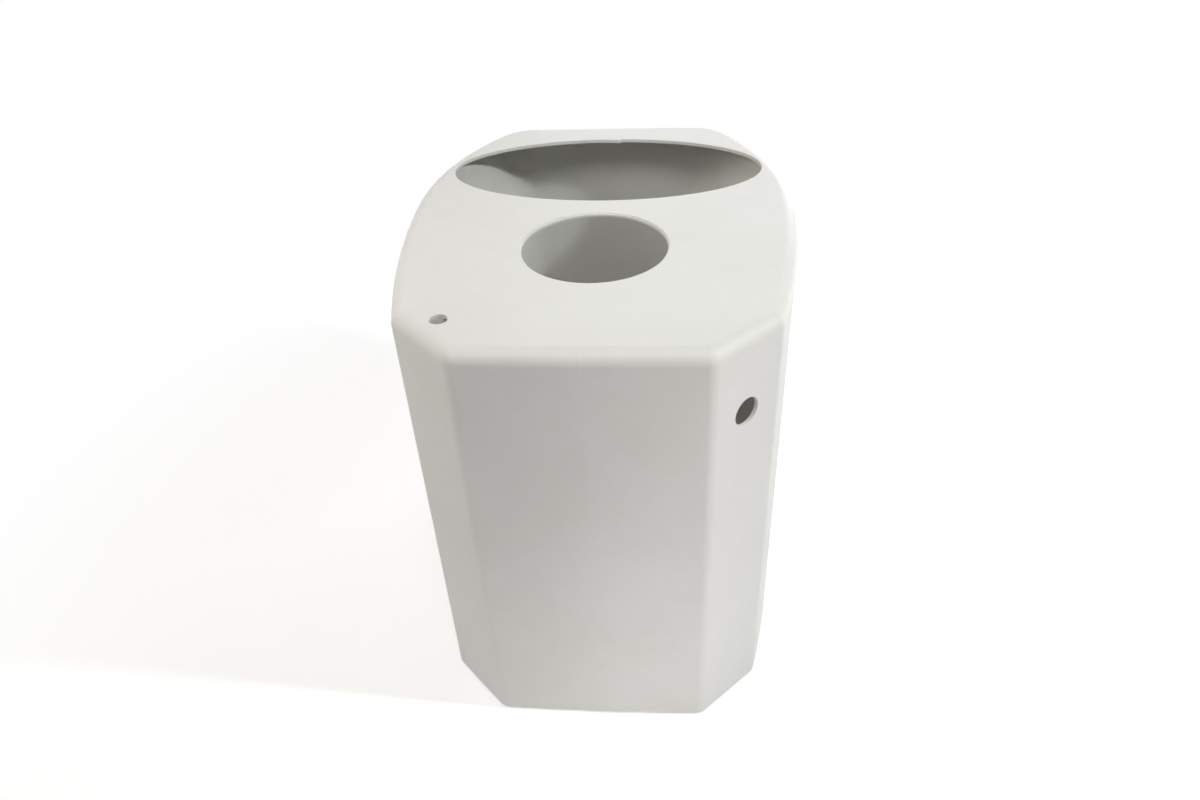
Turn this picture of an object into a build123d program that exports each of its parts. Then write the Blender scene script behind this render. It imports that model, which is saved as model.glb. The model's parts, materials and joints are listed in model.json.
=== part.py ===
from build123d import *
from math import sqrt
import os

# Water softener tank: one hollow moulded body whose openings are trimmed through the wall.
# Lengths are millimetres and angles are degrees. The flat rear face looks towards -Y, the salt
# opening lies towards +Y, and the tank stands on its flat base.
# The origin is in the plane of the base, at the middle of the body's width and depth.

os.makedirs("parts", exist_ok=True)

# Outer form, seen from above
body_depth = 410
rear_face_width = 180
corner_chamfer = 48
flank_bulge = 24
widest_from_front = 170
front_face_width = 195
front_corner_radius = 42

# The two mould halves part at the middle of the rear face, where it stands highest
rear_crown = 1.4
crown_round = 80

# Height, wall, and the rounds where the faces meet
body_height = 392
wall = 3.2
edge_round = 11
base_round = 6
arris_margin = 1

# Round opening for the well tube and the valve neck
well_hole_diameter = 115
well_hole_from_rear = 152

# Oval opening for filling with salt
salt_opening_web = 25
salt_opening_front_lip = 36.5
salt_opening_land = 3

# Small hole for the brine line, set in from the left rear chamfer
tube_hole_diameter = 13
tube_hole_along_chamfer = 38
tube_hole_inset = 22

# Overflow hole through the right rear chamfer
overflow_hole_diameter = 23
overflow_hole_drop = 65

# Places that follow from the sizes above
rear_y = -body_depth / 2
front_y = body_depth / 2
widest_y = front_y - widest_from_front
rear_corner = Vector(rear_face_width / 2, rear_y + rear_crown)
flank_corner = rear_corner + Vector(corner_chamfer, corner_chamfer)
widest_point = Vector(flank_corner.X + flank_bulge, widest_y)
front_corner = Vector(front_face_width / 2, front_y)
arris_round = edge_round + arris_margin

# Footprint: a shallow crowned rear face, two chamfers, two bowed flanks and a flat front face
with BuildSketch() as footprint:
    with BuildLine():
        Line((0, rear_y), rear_corner)
        Line(rear_corner, flank_corner)
        TangentArc(widest_point, flank_corner, tangent=(0, -1))
        TangentArc(widest_point, front_corner, tangent=(0, 1))
        mirror(about=Plane.YZ)
        Line(front_corner, (-front_corner.X, front_y))
    make_face()
    rear_arrises, chamfer_arrises = footprint.vertices().group_by(Axis.Y)[1:3]
    fillet(rear_arrises + chamfer_arrises, radius=arris_round)
    fillet(footprint.vertices().group_by(Axis.Y)[-1], radius=front_corner_radius)
    fillet(footprint.vertices().group_by(Axis.Y)[0], radius=crown_round)

# Hollow inside the wall, with every round smaller than the outer one by the wall
with BuildPart() as cavity:
    with BuildSketch(Plane.XY.offset(wall)):
        add(footprint.sketch)
        offset(amount=-wall, mode=Mode.REPLACE)
    extrude(amount=body_height - 2 * wall)
    fillet(cavity.faces().sort_by(Axis.Z)[-1].edges(), radius=edge_round - wall)
    fillet(cavity.faces().sort_by(Axis.Z)[0].edges(), radius=base_round - wall)

# Salt opening: an ellipse between the well hole and the front lip, as wide as the top's flat allows
well_y = rear_y + well_hole_from_rear
salt_rear_y = well_y + well_hole_diameter / 2 + salt_opening_web
salt_front_y = front_y - salt_opening_front_lip
salt_y = (salt_rear_y + salt_front_y) / 2
flank_drop = widest_point.X - front_corner.X
flank_radius = (widest_from_front**2 + flank_drop**2) / (2 * flank_drop)
flank_x_at_salt = widest_point.X - flank_radius + sqrt(flank_radius**2 - (salt_y - widest_y) ** 2)
salt_half_width = flank_x_at_salt - edge_round - salt_opening_land
salt_half_depth = (salt_front_y - salt_rear_y) / 2

# Brine line hole: measured along the left chamfer from its rear corner, then inwards from its face
along_left = Vector(-1, 1).normalized()
inwards_left = Vector(1, 1).normalized()
left_corner = Vector(-rear_corner.X, rear_corner.Y)
tube_hole = left_corner + along_left * tube_hole_along_chamfer + inwards_left * tube_hole_inset

# Overflow hole: in the middle of the right chamfer's face
chamfer_middle = (rear_corner + flank_corner) / 2
overflow_centre = Vector(chamfer_middle.X, chamfer_middle.Y, body_height - overflow_hole_drop)
overflow_plane = Plane(origin=overflow_centre, x_dir=(1, 1, 0), z_dir=(1, -1, 0))

# Tank body: the rounded outer form, less the hollow and the trimmed openings
with BuildPart() as tank_body:
    with BuildSketch():
        add(footprint.sketch)
    extrude(amount=body_height)
    fillet(tank_body.faces().sort_by(Axis.Z)[-1].edges(), radius=edge_round)
    fillet(tank_body.faces().sort_by(Axis.Z)[0].edges(), radius=base_round)
    add(cavity.part, mode=Mode.SUBTRACT)
    with Locations((0, well_y, body_height)):
        Hole(well_hole_diameter / 2, depth=edge_round)
    with Locations((tube_hole.X, tube_hole.Y, body_height)):
        Hole(tube_hole_diameter / 2, depth=edge_round)
    with BuildSketch(Plane.XY.offset(body_height)):
        with Locations((0, salt_y)):
            Ellipse(salt_half_width, salt_half_depth)
    extrude(amount=-edge_round, mode=Mode.SUBTRACT)
    with Locations(overflow_plane):
        Hole(overflow_hole_diameter / 2, depth=edge_round)

tank_body.part.label = "tank_body"
export_step(tank_body.part, "parts/tank_body.step")
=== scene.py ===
"""Moulded tank of a cabinet water softener, standing on a plain pale studio floor.

Lengths are metres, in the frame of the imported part: the flat rear face looks towards -Y, +Z is up.
"""
import json
import logging
import math
from dataclasses import dataclass, field
from enum import Enum
from typing import Any

import bmesh
import bpy
from mathutils import Matrix, Vector


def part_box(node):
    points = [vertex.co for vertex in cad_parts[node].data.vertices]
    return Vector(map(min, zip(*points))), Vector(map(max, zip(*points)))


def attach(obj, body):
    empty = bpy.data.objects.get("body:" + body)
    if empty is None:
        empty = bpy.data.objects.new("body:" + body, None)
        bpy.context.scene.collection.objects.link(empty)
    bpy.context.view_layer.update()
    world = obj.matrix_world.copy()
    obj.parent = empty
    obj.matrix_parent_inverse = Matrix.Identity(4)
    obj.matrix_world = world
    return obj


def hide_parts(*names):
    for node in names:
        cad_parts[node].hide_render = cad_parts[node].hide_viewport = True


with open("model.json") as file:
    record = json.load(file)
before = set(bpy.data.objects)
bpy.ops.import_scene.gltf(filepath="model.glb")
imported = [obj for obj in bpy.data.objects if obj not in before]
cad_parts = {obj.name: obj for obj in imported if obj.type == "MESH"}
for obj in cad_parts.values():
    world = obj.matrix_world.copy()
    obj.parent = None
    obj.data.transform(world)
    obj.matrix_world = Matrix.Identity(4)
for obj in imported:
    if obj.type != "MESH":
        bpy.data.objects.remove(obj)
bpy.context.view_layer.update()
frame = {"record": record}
NODE = "tank_body"
SLOT = "moulded_plastic"
# Points this near in metres become one, or count as lying on a surface
WELD = 1e-7
NEAR = 1e-5
# Faces whose normal has this cosine or more to a direction count as square to it
SQUARE_ON = 0.9999
log = logging.getLogger("tank")


def mount(name: str) -> dict[str, Any]:
    """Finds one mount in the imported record.

    Args:
        name: the mount's name.

    Returns:
        The mount's entry, with its place, axis and sizes.
    """
    return next(entry for entry in frame["record"]["mounts"] if entry["name"] == name)


class Skin(Enum):
    """One of the wall's two surfaces."""

    OUTER = "outer"
    INNER = "inner"


@dataclass
class Pen:
    """Draws one open chain of edges in a level plane."""

    bm: bmesh.types.BMesh
    tip: bmesh.types.BMVert

    def line(self, x: float, y: float) -> None:
        """Draws a straight edge.

        Args:
            x: how far the edge runs across.
            y: how far the edge runs in depth.
        """
        grown = bmesh.ops.extrude_vert_indiv(self.bm, verts=[self.tip])
        self.tip = grown["verts"][0]
        self.tip.co += Vector((x, y, 0.0))

    def arc(self, centre: Vector, turn: float, steps: int) -> None:
        """Sweeps the tip round a centre.

        Args:
            centre: centre of the arc in the XY plane.
            turn: angle swept, in radians, counter-clockwise from above.
            steps: number of edges.
        """
        swept = bmesh.ops.spin(self.bm, geom=[self.tip], cent=(centre.x, centre.y, self.tip.co.z),
                               axis=(0, 0, 1), dvec=(0, 0, 0), angle=turn, steps=steps,
                               use_merge=False, use_normal_flip=False, use_duplicate=False)
        self.tip = next(part for part in swept["geom_last"] if isinstance(part, bmesh.types.BMVert))


@dataclass(frozen=True)
class Footprint:
    """Outline of the body seen from above. The left half mirrors the right one."""

    rear_face_width: float = 0.180
    rear_crown: float = 0.0014
    crown_round: float = 0.080
    corner_chamfer: float = 0.048
    arris_round: float = 0.012
    flank_bulge: float = 0.024
    widest_from_front: float = 0.170
    front_face_width: float = 0.195
    front_corner_radius: float = 0.042
    depth: float = 0.410
    arc_step: float = 0.0042
    arris_steps: int = 8
    corner_steps: int = 14

    def trace(self, bm: bmesh.types.BMesh, inset: float, z: float) -> list[bmesh.types.BMEdge]:
        """Draws the closed outline, moved inwards by an even distance.

        Args:
            bm: empty mesh that receives the outline.
            inset: distance inwards from the outer surface.
            z: height of the outline.

        Returns:
            The edges of the closed loop.
        """
        rear_y = -self.depth / 2
        front_y = self.depth / 2
        rear_half = self.rear_face_width / 2
        fall = math.atan2(self.rear_crown, rear_half)
        chamfer_turn = math.radians(45)
        rear_corner = Vector((rear_half, rear_y + self.rear_crown))
        flank_corner = rear_corner + Vector((self.corner_chamfer, self.corner_chamfer))
        widest = Vector((flank_corner.x + self.flank_bulge, front_y - self.widest_from_front))
        run = widest.y - flank_corner.y
        rear_radius = (run**2 + self.flank_bulge**2) / (2 * self.flank_bulge)
        rear_centre = Vector((widest.x - rear_radius, widest.y))
        step_in = widest.x - self.front_face_width / 2
        front_radius = (self.widest_from_front**2 + step_in**2) / (2 * step_in)
        front_centre = Vector((widest.x - front_radius, widest.y))

        crown_centre = Vector((0, rear_y + self.crown_round / math.cos(fall)))
        rear_way = Vector((math.cos(fall), math.sin(fall)))
        rear_in = Vector((-rear_way.y, rear_way.x))
        crown_tangent = self.crown_round * math.tan(fall)
        rear_turn = chamfer_turn - fall
        rear_tangent = self.arris_round * math.tan(rear_turn / 2)
        rear_end = rear_corner - rear_way * rear_tangent
        rear_arc_centre = rear_end + rear_in * self.arris_round
        chamfer_way = Vector((math.cos(chamfer_turn), math.sin(chamfer_turn)))
        chamfer_in = Vector((-chamfer_way.y, chamfer_way.x))
        chamfer_start = rear_corner + chamfer_way * rear_tangent

        # The flank arris touches the chamfer's line and the rear flank's arc
        reach = rear_radius - self.arris_round
        base = rear_corner + chamfer_in * self.arris_round - rear_centre
        down = base.dot(chamfer_way)
        along = math.sqrt(down**2 - base.length_squared + reach**2) - down
        flank_arc_centre = rear_corner + chamfer_in * self.arris_round + chamfer_way * along
        chamfer_end = rear_corner + chamfer_way * along
        to_flank = flank_arc_centre - rear_centre
        flank_angle = math.atan2(to_flank.y, to_flank.x)
        flank_turn = flank_angle + math.pi / 2 - chamfer_turn

        # The front corner touches the front flank's arc and the flat front face
        corner_y = front_y - self.front_corner_radius
        reach = front_radius - self.front_corner_radius
        corner_x = front_centre.x + math.sqrt(reach**2 - (corner_y - widest.y) ** 2)
        corner_centre = Vector((corner_x, corner_y))
        to_corner = corner_centre - front_centre
        corner_angle = math.atan2(to_corner.y, to_corner.x)

        start = bm.verts.new((0, crown_centre.y - self.crown_round + inset, z))
        pen = Pen(bm, start)
        pen.arc(crown_centre, fall, 2)
        length = (rear_end - Vector((0, rear_y))).length - crown_tangent
        pen.line(*(rear_way * length))
        pen.arc(rear_arc_centre, rear_turn, self.arris_steps)
        pen.line(*(chamfer_end - chamfer_start))
        pen.arc(flank_arc_centre, flank_turn, self.arris_steps)
        pen.arc(rear_centre, -flank_angle, round(-flank_angle * rear_radius / self.arc_step))
        pen.arc(front_centre, corner_angle, round(corner_angle * front_radius / self.arc_step))
        pen.arc(corner_centre, math.pi / 2 - corner_angle, self.corner_steps)
        pen.line(-pen.tip.co.x, 0)

        bmesh.ops.mirror(bm, geom=bm.verts[:] + bm.edges[:], matrix=Matrix.Identity(4),
                         merge_dist=WELD, axis="X")
        return bm.edges[:]


@dataclass(frozen=True)
class TrimmedHole:
    """Opening cut through a flat stretch of the wall, with a slightly eased outer edge."""

    name: str
    place: Matrix
    half_width: float
    half_depth: float
    segments: int
    ease: float = 0.0004
    ease_steps: int = 3

    def ring(self, bm: bmesh.types.BMesh, depth: float, grow: float) -> list[bmesh.types.BMEdge]:
        """Makes one closed ring of the opening.

        Args:
            bm: mesh that receives the ring.
            depth: distance below the outer surface.
            grow: how much wider than the opening the ring is.

        Returns:
            The ring's edges.
        """
        size = Matrix.Diagonal((self.half_width + grow, self.half_depth + grow, 1.0, 1.0))
        made = bmesh.ops.create_circle(bm, cap_ends=False, radius=1.0, segments=self.segments,
                                       matrix=self.place @ Matrix.Translation((0, 0, -depth)) @ size)
        return list(dict.fromkeys(edge for vertex in made["verts"] for edge in vertex.link_edges))

    def rim(self, bm: bmesh.types.BMesh, skin: Skin, wall: float) -> list[bmesh.types.BMEdge]:
        """Makes the rim of the opening in one skin.

        Args:
            bm: mesh of that skin.
            skin: which surface the rim lies in.
            wall: wall thickness.

        Returns:
            The rim's edges.
        """
        if skin is Skin.OUTER:
            return self.ring(bm, 0.0, self.ease)
        return self.ring(bm, wall, 0.0)

    def find_rim(self, bm: bmesh.types.BMesh, skin: Skin, wall: float) -> list[bmesh.types.BMEdge]:
        """Finds the open rim of the opening in one skin.

        Args:
            bm: mesh that holds both skins.
            skin: which surface the rim lies in.
            wall: wall thickness.

        Returns:
            The rim's edges.
        """
        depth, grow = (0.0, self.ease) if skin is Skin.OUTER else (wall, 0.0)
        width, length = self.half_width + grow, self.half_depth + grow
        to_hole = self.place.inverted()
        found = []
        for edge in bm.edges:
            if len(edge.link_faces) != 1:
                continue
            spots = [to_hole @ vertex.co for vertex in edge.verts]
            level = all(abs(spot.z + depth) < NEAR for spot in spots)
            rings = [math.hypot(spot.x / width, spot.y / length) for spot in spots]
            if level and all(abs(ring - 1) * width < NEAR for ring in rings):
                found.append(edge)
        return found

    def cut_wall(self, bm: bmesh.types.BMesh, wall: float) -> None:
        """Joins the outer rim to the inner one through the wall.

        Args:
            bm: mesh that holds both skins.
            wall: wall thickness.
        """
        last = self.find_rim(bm, Skin.OUTER, wall)
        inner = self.find_rim(bm, Skin.INNER, wall)
        for step in range(1, self.ease_steps + 1):
            angle = math.pi / 2 * step / self.ease_steps
            ring = self.ring(bm, self.ease * math.sin(angle), self.ease * math.cos(angle))
            bmesh.ops.bridge_loops(bm, edges=last + ring)
            last = ring
        bmesh.ops.bridge_loops(bm, edges=last + inner)
        for edge in inner:
            edge.smooth = False


@dataclass(frozen=True)
class TrimWitness:
    """Small step in the far lip of the salt opening, where the trimming cut started and ended."""

    step_x: float = 0.0075
    step_run: float = 0.0016
    lead_in: float = 0.034
    depth: float = 0.0026

    def press(self, bm: bmesh.types.BMesh, hole: TrimmedHole, wall: float) -> None:
        """Moves the lip's edge by the step.

        Args:
            bm: mesh of the whole body.
            hole: the salt opening.
            wall: wall thickness.
        """
        to_hole = hole.place.inverted()
        for vertex in bm.verts:
            spot = to_hole @ vertex.co
            ring = math.hypot(spot.x / hole.half_width, spot.y / hole.half_depth) - 1
            off_rim = abs(ring) * hole.half_depth > 2 * hole.ease
            if spot.y < 0 or off_rim or not -wall - NEAR < spot.z < NEAR:
                continue
            rise = (spot.x - self.step_x + self.lead_in) / self.lead_in
            fall = (self.step_x + self.step_run - spot.x) / self.step_run
            share = max(0.0, min(1.0, rise, fall))
            vertex.co.y -= self.depth * share * share


@dataclass
class TankBody:
    """Hollow body: two rounded skins an even wall apart, joined through the trimmed openings."""

    height: float
    footprint: Footprint = field(default_factory=Footprint)
    trim_witness: TrimWitness = field(default_factory=TrimWitness)
    wall: float = 0.0032
    edge_round: float = 0.011
    base_round: float = 0.006
    round_steps: int = 10
    salt_web: float = 0.025
    salt_front_lip: float = 0.0365
    salt_half_width: float = 0.1399
    well_ease: float = 0.0013

    def holes_in_top(self) -> list[TrimmedHole]:
        """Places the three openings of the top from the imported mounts.

        Returns:
            The well hole, the salt opening and the brine line hole.
        """
        well = mount("well_hole")
        line = mount("brine_line_hole")
        well_radius = well["dims"]["r_mm"] / 1000
        line_radius = line["dims"]["r_mm"] / 1000
        rear = well["pos_m"][1] + well_radius + self.salt_web
        front = self.footprint.depth / 2 - self.salt_front_lip
        well_place = Matrix.Translation((0, well["pos_m"][1], self.height))
        salt_place = Matrix.Translation((0, (rear + front) / 2, self.height))
        line_place = Matrix.Translation((*line["pos_m"][:2], self.height))
        return [
            TrimmedHole("well_hole", well_place, well_radius, well_radius, 128, self.well_ease, 6),
            TrimmedHole("salt_opening", salt_place, self.salt_half_width, (front - rear) / 2, 352),
            TrimmedHole("brine_line_hole", line_place, line_radius, line_radius, 40),
        ]

    def hole_in_chamfer(self) -> TrimmedHole:
        """Places the overflow hole square to the right chamfer.

        Returns:
            The hole, from its packed mount.
        """
        overflow = mount("overflow_hole")
        axis = Vector(overflow["axis"])
        radius = overflow["dims"]["r_mm"] / 1000
        surface = Vector(overflow["pos_m"]) + axis * self.wall / 2
        turn = axis.to_track_quat("Z", "Y").to_matrix().to_4x4()
        return TrimmedHole("overflow_hole", Matrix.Translation(surface) @ turn, radius, radius, 56)

    def sheet(self, skin: Skin, top_holes: list[TrimmedHole],
              chamfer_hole: TrimmedHole) -> bmesh.types.BMesh:
        """Builds one skin of the wall, with its rims left open.

        Args:
            skin: which surface of the wall.
            top_holes: openings of the flat top.
            chamfer_hole: opening of the right chamfer.

        Returns:
            A new mesh of that skin.
        """
        inset = 0.0 if skin is Skin.OUTER else self.wall
        bm = bmesh.new()
        outline = self.footprint.trace(bm, inset, inset)
        floor = bmesh.ops.contextual_create(bm, geom=outline)["faces"]
        raised = bmesh.ops.extrude_face_region(bm, geom=floor)["geom"]
        lift = self.height - 2 * inset
        bmesh.ops.translate(bm, verts=[part for part in raised if isinstance(part, bmesh.types.BMVert)],
                            vec=(0, 0, lift))
        bmesh.ops.recalc_face_normals(bm, faces=bm.faces[:])
        for side, size in ((1, self.edge_round), (-1, self.base_round)):
            end = max(bm.faces, key=lambda face: face.normal.z * side * face.calc_area())
            bmesh.ops.bevel(bm, geom=end.edges[:], offset=size - inset, offset_type="OFFSET",
                            segments=self.round_steps, profile=0.5, affect="EDGES", material=-1,
                            clamp_overlap=False, loop_slide=True)
        bm.normal_update()
        top = max((face for face in bm.faces if face.normal.z > SQUARE_ON),
                  key=lambda face: face.calc_area())
        self.open_face(bm, top, [hole.rim(bm, skin, self.wall) for hole in top_holes])
        outward = chamfer_hole.place.to_3x3().col[2]
        chamfer = max((face for face in bm.faces if face.normal.dot(outward) > SQUARE_ON),
                      key=lambda face: face.calc_area())
        self.open_face(bm, chamfer, [chamfer_hole.rim(bm, skin, self.wall)])
        return bm

    def open_face(self, bm: bmesh.types.BMesh, face: bmesh.types.BMFace,
                  rings: list[list[bmesh.types.BMEdge]]) -> None:
        """Replaces one flat face by a sheet with openings.

        Args:
            bm: mesh that holds the face.
            face: the flat face.
            rings: closed loops in its plane that stay open.
        """
        border = list(face.edges)
        normal = face.normal.copy()
        bmesh.ops.delete(bm, geom=[face], context="FACES_ONLY")
        bmesh.ops.triangle_fill(bm, use_beauty=True, use_dissolve=False,
                                edges=border + [edge for ring in rings for edge in ring], normal=normal)

    @staticmethod
    def settle_order(bm: bmesh.types.BMesh) -> None:
        """Puts points and faces in the order of their places, so that each run gives the same mesh.

        Args:
            bm: mesh of the whole body.
        """
        for order, vertex in enumerate(sorted(bm.verts, key=lambda vertex: tuple(vertex.co))):
            vertex.index = order
        for order, face in enumerate(sorted(bm.faces, key=lambda face: tuple(face.calc_center_median()))):
            face.index = order
        bm.verts.sort()
        bm.faces.sort()

    def build(self) -> bpy.types.Object:
        """Builds the body as one closed mesh.

        Returns:
            The object, in place in the part's frame.
        """
        top_holes = self.holes_in_top()
        chamfer_hole = self.hole_in_chamfer()
        bm = bmesh.new()
        for skin in Skin:
            sheet = self.sheet(skin, top_holes, chamfer_hole)
            carrier = bpy.data.meshes.new("carrier")
            sheet.to_mesh(carrier)
            sheet.free()
            bm.from_mesh(carrier)
            bpy.data.meshes.remove(carrier)
        for hole in (*top_holes, chamfer_hole):
            hole.cut_wall(bm, self.wall)
        self.trim_witness.press(bm, top_holes[1], self.wall)
        bmesh.ops.remove_doubles(bm, verts=bm.verts[:], dist=WELD)
        bmesh.ops.recalc_face_normals(bm, faces=bm.faces[:])
        self.settle_order(bm)
        for face in bm.faces:
            face.smooth = True
        mesh = bpy.data.meshes.new("body_shell")
        bm.to_mesh(mesh)
        loose = sum(1 for edge in bm.edges if len(edge.link_faces) != 2)
        log.info("body shell: %d faces, %d open edges, volume %.1f cm3", len(bm.faces), loose,
                 bm.calc_volume() * 1e6)
        bm.free()
        piece = bpy.data.objects.new("body_shell", mesh)
        bpy.context.scene.collection.objects.link(piece)
        flat_shading = piece.modifiers.new("flat_faces_stay_flat", "WEIGHTED_NORMAL")
        flat_shading.mode = "FACE_AREA"
        flat_shading.weight = 100
        flat_shading.keep_sharp = True
        return piece


class Wire:
    """One shader value. Python arithmetic on it adds Math nodes."""

    def __init__(self, graph: "Graph", socket: bpy.types.NodeSocket) -> None:
        """Wraps an output socket of a graph.

        Args:
            graph: graph that holds the socket.
            socket: the output socket.
        """
        self.graph = graph
        self.socket = socket

    def maths(self, operation: str, *values: Any) -> "Wire":
        """Adds one Math node.

        Args:
            operation: the node's operation.
            values: its inputs, each a number or a wire.

        Returns:
            The node's result.
        """
        made = self.graph.node("ShaderNodeMath", {"operation": operation}, dict(enumerate(values)))
        return Wire(self.graph, made.outputs[0])

    def __add__(self, other: Any) -> "Wire":
        """Adds a number or a wire."""
        return self.maths("ADD", self, other)

    def __sub__(self, other: Any) -> "Wire":
        """Takes away a number or a wire."""
        return self.maths("SUBTRACT", self, other)

    def __rsub__(self, other: Any) -> "Wire":
        """Takes this value away from a number."""
        return self.maths("SUBTRACT", other, self)

    def __mul__(self, other: Any) -> "Wire":
        """Multiplies by a number or a wire."""
        return self.maths("MULTIPLY", self, other)

    def __truediv__(self, other: Any) -> "Wire":
        """Divides by a number or a wire."""
        return self.maths("DIVIDE", self, other)

    def __rtruediv__(self, other: Any) -> "Wire":
        """Divides a number by this value."""
        return self.maths("DIVIDE", other, self)

    def __abs__(self) -> "Wire":
        """Drops the sign."""
        return self.maths("ABSOLUTE", self)

    __radd__ = __add__
    __rmul__ = __mul__

    def fade(self, start: float, end: float) -> "Wire":
        """Turns a value into a smooth share.

        Args:
            start: value where the share is 0.
            end: value where the share is 1.

        Returns:
            The share, from 0 to 1.
        """
        made = self.graph.node("ShaderNodeMapRange", {"interpolation_type": "SMOOTHSTEP"},
                               {"Value": self, "From Min": start, "From Max": end})
        return Wire(self.graph, made.outputs["Result"])


class Graph:
    """Node tree of one material or world."""

    def __init__(self, owner: bpy.types.Material | bpy.types.World) -> None:
        """Empties the owner's node tree.

        Args:
            owner: material or world that the graph belongs to.
        """
        owner.use_nodes = True
        self.tree = owner.node_tree
        self.tree.nodes.clear()

    def node(self, kind: str, settings: dict[str, Any] | None = None,
             sockets: dict[Any, Any] | None = None) -> bpy.types.Node:
        """Adds a node, sets it up and connects it.

        Args:
            kind: the node's type name.
            settings: attributes, set first.
            sockets: inputs by name or number, each a value, a wire or an output socket.

        Returns:
            The new node.
        """
        made = self.tree.nodes.new(kind)
        for name, value in (settings or {}).items():
            setattr(made, name, value)
        for name, value in (sockets or {}).items():
            if isinstance(value, Wire):
                self.tree.links.new(value.socket, made.inputs[name])
            elif isinstance(value, bpy.types.NodeSocket):
                self.tree.links.new(value, made.inputs[name])
            else:
                made.inputs[name].default_value = value
        return made

    def noise(self, place: bpy.types.NodeSocket, scale: float, detail: float,
              roughness: float = 0.5) -> Wire:
        """Adds a noise pattern.

        Args:
            place: coordinates that it reads.
            scale: cells per metre.
            detail: number of finer layers.
            roughness: strength of the finer layers.

        Returns:
            The pattern, around 0.5.
        """
        made = self.node("ShaderNodeTexNoise", {"noise_dimensions": "3D"},
                         {"Vector": place, "Scale": scale, "Detail": detail, "Roughness": roughness})
        return Wire(self, made.outputs["Fac"])

    def blend(self, share: Wire, first: Any, second: Any) -> bpy.types.NodeSocket:
        """Mixes two colours.

        Args:
            share: 0 for the first colour, 1 for the second.
            first: colour or socket.
            second: colour or socket.

        Returns:
            The mixed colour.
        """
        made = self.node("ShaderNodeMix", {"data_type": "RGBA"}, {"Factor": share, 6: first, 7: second})
        return made.outputs[2]


@dataclass(frozen=True)
class MouldedPlastic:
    """Off-white moulded polyethylene: satin grain, faint peel, a slow waviness and a parting line."""

    pale: tuple[float, float, float, float] = (0.815, 0.808, 0.777, 1.0)
    deep: tuple[float, float, float, float] = (0.785, 0.776, 0.740, 1.0)
    # Lighter colour: a painted highlight on the small mark, and real rubbing in the foot scuff
    scuff_and_highlight: tuple[float, float, float, float] = (0.86, 0.855, 0.84, 1.0)
    roughness: float = 0.52
    index: float = 1.5
    grain_height: float = 0.000012
    peel_height: float = 0.00004
    wave_height: float = 0.0005
    parting_half_width: float = 0.0007
    parting_height: float = 0.00005
    foot_scuff_top: float = 0.012
    mark_place: tuple[float, float, float] = (-0.0027, -0.2050, 0.3603)
    mark_half_size: tuple[float, float, float] = (0.0026, 0.0020, 0.00045)
    mark_height: float = 0.0001

    def material(self) -> bpy.types.Material:
        """Makes the material.

        Returns:
            The moulded plastic, on Object coordinates.
        """
        made = bpy.data.materials.new(SLOT)
        graph = Graph(made)
        place = graph.node("ShaderNodeTexCoord").outputs["Object"]
        axes = graph.node("ShaderNodeSeparateXYZ", {}, {"Vector": place})
        x, y, z = (Wire(graph, axes.outputs[name]) for name in "XYZ")

        cloud = graph.noise(place, 9.0, 2.0)
        fleck = graph.noise(place, 75.0, 3.0, 0.6)
        tone = (cloud * 0.7 + fleck * 0.3).fade(0.35, 0.65)
        colour = graph.blend(tone, self.deep, self.pale)
        mark = self.mark(x, y, z)
        scuff = self.foot_scuff(graph, place, z)
        # The mark's pale share is a painted highlight; the scuff's share is real rubbing round the foot
        colour = graph.blend(mark * 0.8 + scuff * 0.35, colour, self.scuff_and_highlight)

        grain = graph.noise(place, 1500.0, 2.0)
        peel = graph.noise(place, 150.0, 1.0)
        wave = graph.noise(place, 7.0, 1.0)
        parting = 1 - (abs(x) / self.parting_half_width).fade(0.0, 1.0)
        height = (grain * self.grain_height + peel * self.peel_height + wave * self.wave_height
                  + parting * self.parting_height + mark * self.mark_height)
        bump = graph.node("ShaderNodeBump", {}, {"Strength": 1.0, "Distance": 1.0, "Height": height})
        rough = fleck * 0.07 + cloud * 0.05 + scuff * 0.10 + (self.roughness - 0.06)

        shader = graph.node("ShaderNodeBsdfPrincipled", {}, {
            "Base Color": colour,
            "Roughness": rough,
            "IOR": self.index,
            "Normal": bump.outputs["Normal"],
        })
        graph.node("ShaderNodeOutputMaterial", {}, {"Surface": shader.outputs["BSDF"]})
        return made

    def mark(self, x: Wire, y: Wire, z: Wire) -> Wire:
        """Shapes the short line high on the rear face: a small moulded jog, raised by the bump, whose pale
        colour is a painted highlight.

        Args:
            x: place across.
            y: place in depth.
            z: height.

        Returns:
            Share of the line, from 0 to 1.
        """
        offsets = [(axis - centre) / half
                   for axis, centre, half in zip((x, y, z), self.mark_place, self.mark_half_size)]
        reach = sum(offset * offset for offset in offsets)
        return 1 - reach.fade(0.3, 1.0)

    def foot_scuff(self, graph: Graph, place: bpy.types.NodeSocket, z: Wire) -> Wire:
        """Shapes the faint rubbing round the foot.

        Args:
            graph: graph of the material.
            place: coordinates on the piece.
            z: height.

        Returns:
            Share of the rubbing, from 0 to 1.
        """
        streaks = graph.noise(place, 220.0, 3.0, 0.7).fade(0.52, 0.72)
        return (1 - z.fade(0.0, self.foot_scuff_top)) * streaks


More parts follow.
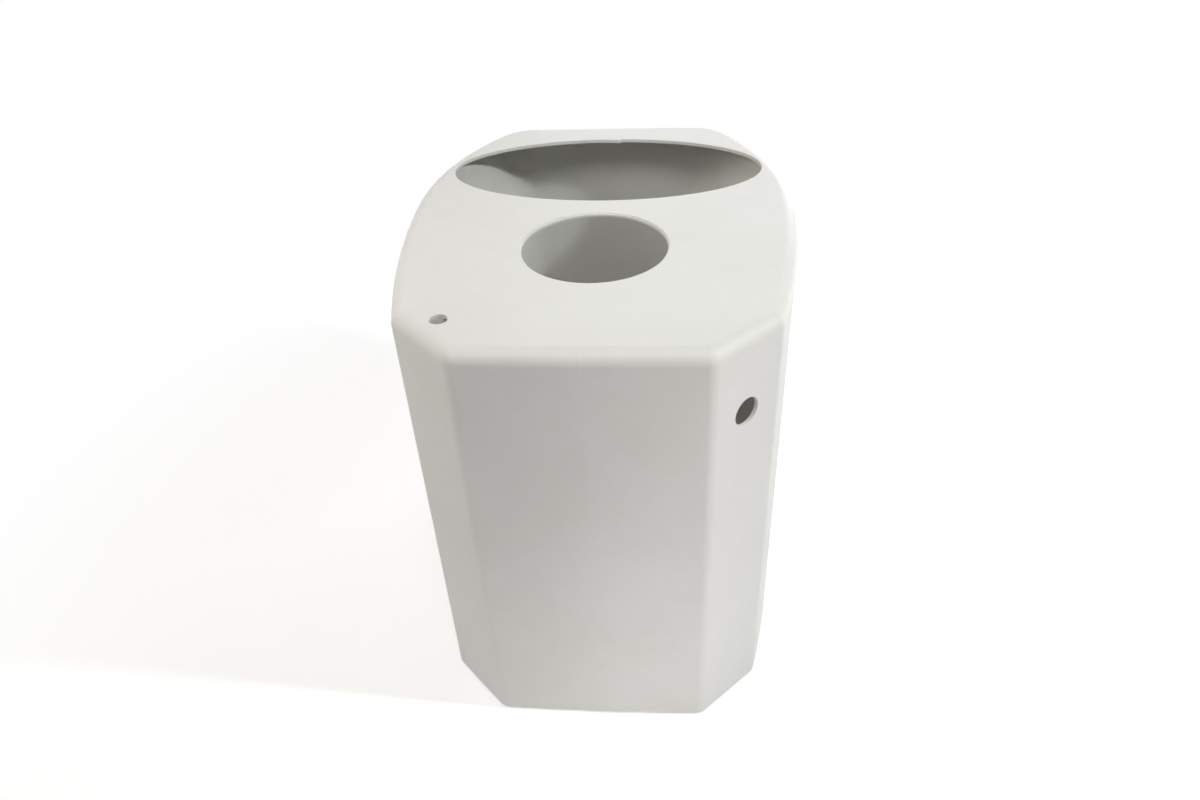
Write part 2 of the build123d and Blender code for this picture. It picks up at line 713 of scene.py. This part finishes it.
@dataclass(frozen=True)
class PhotoCamera:
    """Pin-hole camera at the photograph's viewing angle."""

    place: tuple[float, float, float] = (0.0620, -0.6948, 0.7251)
    pitch: float = 36.898
    roll: float = 2.982
    yaw: float = -5.694
    focal_px: float = 916.16
    image_width_px: float = 1200.0
    sensor_mm: float = 36.0

    def build(self) -> bpy.types.Object:
        """Adds the camera and makes it the scene's own.

        Returns:
            The camera.
        """
        data = bpy.data.cameras.new("photo_camera")
        data.sensor_width = self.sensor_mm
        data.lens = self.focal_px / self.image_width_px * self.sensor_mm
        camera = bpy.data.objects.new("photo_camera", data)
        turn = (Matrix.Rotation(math.radians(-self.yaw), 4, "Z")
                @ Matrix.Rotation(math.radians(90 - self.pitch), 4, "X")
                @ Matrix.Rotation(math.radians(-self.roll), 4, "Z"))
        camera.matrix_world = Matrix.Translation(self.place) @ turn
        bpy.context.scene.collection.objects.link(camera)
        bpy.context.scene.camera = camera
        return camera


@dataclass(frozen=True)
class SoftLamp:
    """Square area lamp that looks at one point and is not seen itself."""

    name: str
    place: tuple[float, float, float]
    size: float
    power: float
    colour: tuple[float, float, float] = (1.0, 1.0, 1.0)
    aim: tuple[float, float, float] = (0.0, 0.0, 0.25)

    def build(self) -> bpy.types.Object:
        """Adds the lamp.

        Returns:
            The lamp, turned to its aim.
        """
        data = bpy.data.lights.new(self.name, "AREA")
        data.size = self.size
        data.energy = self.power
        data.color = self.colour
        lamp = bpy.data.objects.new(self.name, data)
        away = Vector(self.place) - Vector(self.aim)
        turn = away.to_track_quat("Z", "Y").to_matrix().to_4x4()
        lamp.matrix_world = Matrix.Translation(self.place) @ turn
        lamp.visible_camera = False
        bpy.context.scene.collection.objects.link(lamp)
        return lamp


@dataclass
class Studio:
    """Pale floor, white surround and soft lamps."""

    floor_size: float = 8.0
    floor_colour: tuple[float, float, float, float] = (0.86, 0.86, 0.86, 1.0)
    white: tuple[float, float, float, float] = (1.0, 1.0, 1.0, 1.0)
    floor_lift: float = 0.36
    white_from: float = 0.38
    white_by: float = 0.80
    surround_strength: float = 0.07
    lamps: tuple[SoftLamp, ...] = (
        SoftLamp("right_window", (1.1393, -0.2840, 1.1545), 0.08, 9.4, (0.96, 1.0, 0.98), (0.0, 0.0, 0.392)),
        SoftLamp("ceiling_over_rear", (-0.0483, -0.6900, 1.4571), 0.40, 5.2, (1.0, 0.987, 0.985),
                 (0.0, 0.0, 0.392)),
        SoftLamp("left_fill", (-0.8833, 0.5099, 0.6121), 0.50, 1.2, (1.0, 0.955, 0.90), (0.0, 0.0, 0.2)),
        SoftLamp("left_over_chamfer", (-0.9134, -0.2447, 0.9388), 0.50, 3.8, (1.0, 0.958, 0.875),
                 (0.0, 0.0, 0.2)),
        SoftLamp("front_fill", (0.4535, 0.8529, 0.4588), 0.40, 2.6, (0.90, 0.90, 1.0), (0.0, 0.0, 0.2)),
        SoftLamp("over_front", (0.0, 1.0392, 0.8), 0.50, 2.2, (0.95, 0.96, 1.0), (0.0, 0.0, 0.2)),
        SoftLamp("flank_fill", (0.60, 0.35, 0.20), 0.25, 0.7, (1.0, 0.97, 0.98), (0.16, 0.05, 0.20)),
        SoftLamp("card_high", (0.18, -0.34, 0.38), 0.12, 0.055, (1.0, 0.87, 0.91), (0.05, -0.205, 0.30)),
        SoftLamp("card_middle", (0.20, -0.34, 0.18), 0.12, 0.050, (0.97, 0.93, 1.0), (0.05, -0.205, 0.15)),
        SoftLamp("card_low", (0.05, -0.42, 0.06), 0.11, 0.088, (1.0, 0.955, 0.98), (0.05, -0.205, 0.10)),
    )

    def build(self) -> None:
        """Adds the floor, the surround and the lamps."""
        bm = bmesh.new()
        bmesh.ops.create_grid(bm, x_segments=1, y_segments=1, size=self.floor_size / 2)
        mesh = bpy.data.meshes.new("floor")
        bm.to_mesh(mesh)
        bm.free()
        mesh.materials.append(self.floor_material())
        floor = bpy.data.objects.new("floor", mesh)
        bpy.context.scene.collection.objects.link(floor)
        bpy.context.scene.world = self.surround()
        for lamp in self.lamps:
            lamp.build()
        bpy.context.scene.view_settings.view_transform = "Standard"

    @staticmethod
    def seen(graph: Graph) -> Wire:
        """Tells rays from the camera, from gloss and from glass apart from the ones that light the object.

        Args:
            graph: graph that receives the Light Path node.

        Returns:
            1 for a ray that only sees the backdrop, or else 0.
        """
        path = graph.node("ShaderNodeLightPath").outputs
        camera, glossy, glass = (Wire(graph, path[name])
                                 for name in ("Is Camera Ray", "Is Glossy Ray", "Is Transmission Ray"))
        return camera.maths("MAXIMUM", camera.maths("MAXIMUM", camera, glossy), glass)

    def floor_material(self) -> bpy.types.Material:
        """Makes the floor, which the camera sees white outside the shadow.

        Returns:
            The floor's material.
        """
        made = bpy.data.materials.new("floor")
        graph = Graph(made)
        matt = graph.node("ShaderNodeBsdfDiffuse", {}, {"Color": self.floor_colour})
        lift = graph.node("ShaderNodeEmission", {}, {"Color": self.white, "Strength": self.floor_lift})
        lifted = graph.node("ShaderNodeAddShader", {}, {0: matt.outputs[0], 1: lift.outputs[0]})
        white = graph.node("ShaderNodeEmission", {}, {"Color": self.white, "Strength": 1.0})
        place = graph.node("ShaderNodeTexCoord").outputs["Object"]
        reach = graph.node("ShaderNodeVectorMath", {"operation": "LENGTH"}, {0: place})
        share = Wire(graph, reach.outputs["Value"]).fade(self.white_from, self.white_by)
        backdrop = graph.node("ShaderNodeMixShader", {}, {0: share, 1: lifted.outputs[0],
                                                          2: white.outputs[0]})
        shader = graph.node("ShaderNodeMixShader", {}, {0: self.seen(graph), 1: matt.outputs[0],
                                                        2: backdrop.outputs[0]})
        graph.node("ShaderNodeOutputMaterial", {}, {"Surface": shader.outputs[0]})
        return made

    def surround(self) -> bpy.types.World:
        """Makes the world: white where it is seen, and dimmer where it lights.

        Returns:
            The world.
        """
        made = bpy.data.worlds.new("surround")
        graph = Graph(made)
        light = graph.node("ShaderNodeBackground", {}, {"Color": self.white,
                                                        "Strength": self.surround_strength})
        white = graph.node("ShaderNodeBackground", {}, {"Color": self.white, "Strength": 1.0})
        shader = graph.node("ShaderNodeMixShader", {}, {0: self.seen(graph), 1: light.outputs[0],
                                                        2: white.outputs[0]})
        graph.node("ShaderNodeOutputWorld", {}, {"Surface": shader.outputs[0]})
        return made


def main() -> None:
    """Builds the tank and its studio."""
    logging.basicConfig(level=logging.INFO, format="%(name)s: %(message)s")
    PhotoCamera().build()
    piece = TankBody(height=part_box(NODE)[1].z).build()
    piece.data.materials.append(MouldedPlastic().material())
    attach(piece, "root")
    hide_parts(NODE)
    log.info("%s: %d points in place, stands for %s", piece.name, len(piece.data.vertices), NODE)
    Studio().build()


if __name__ == "__main__":
    main()
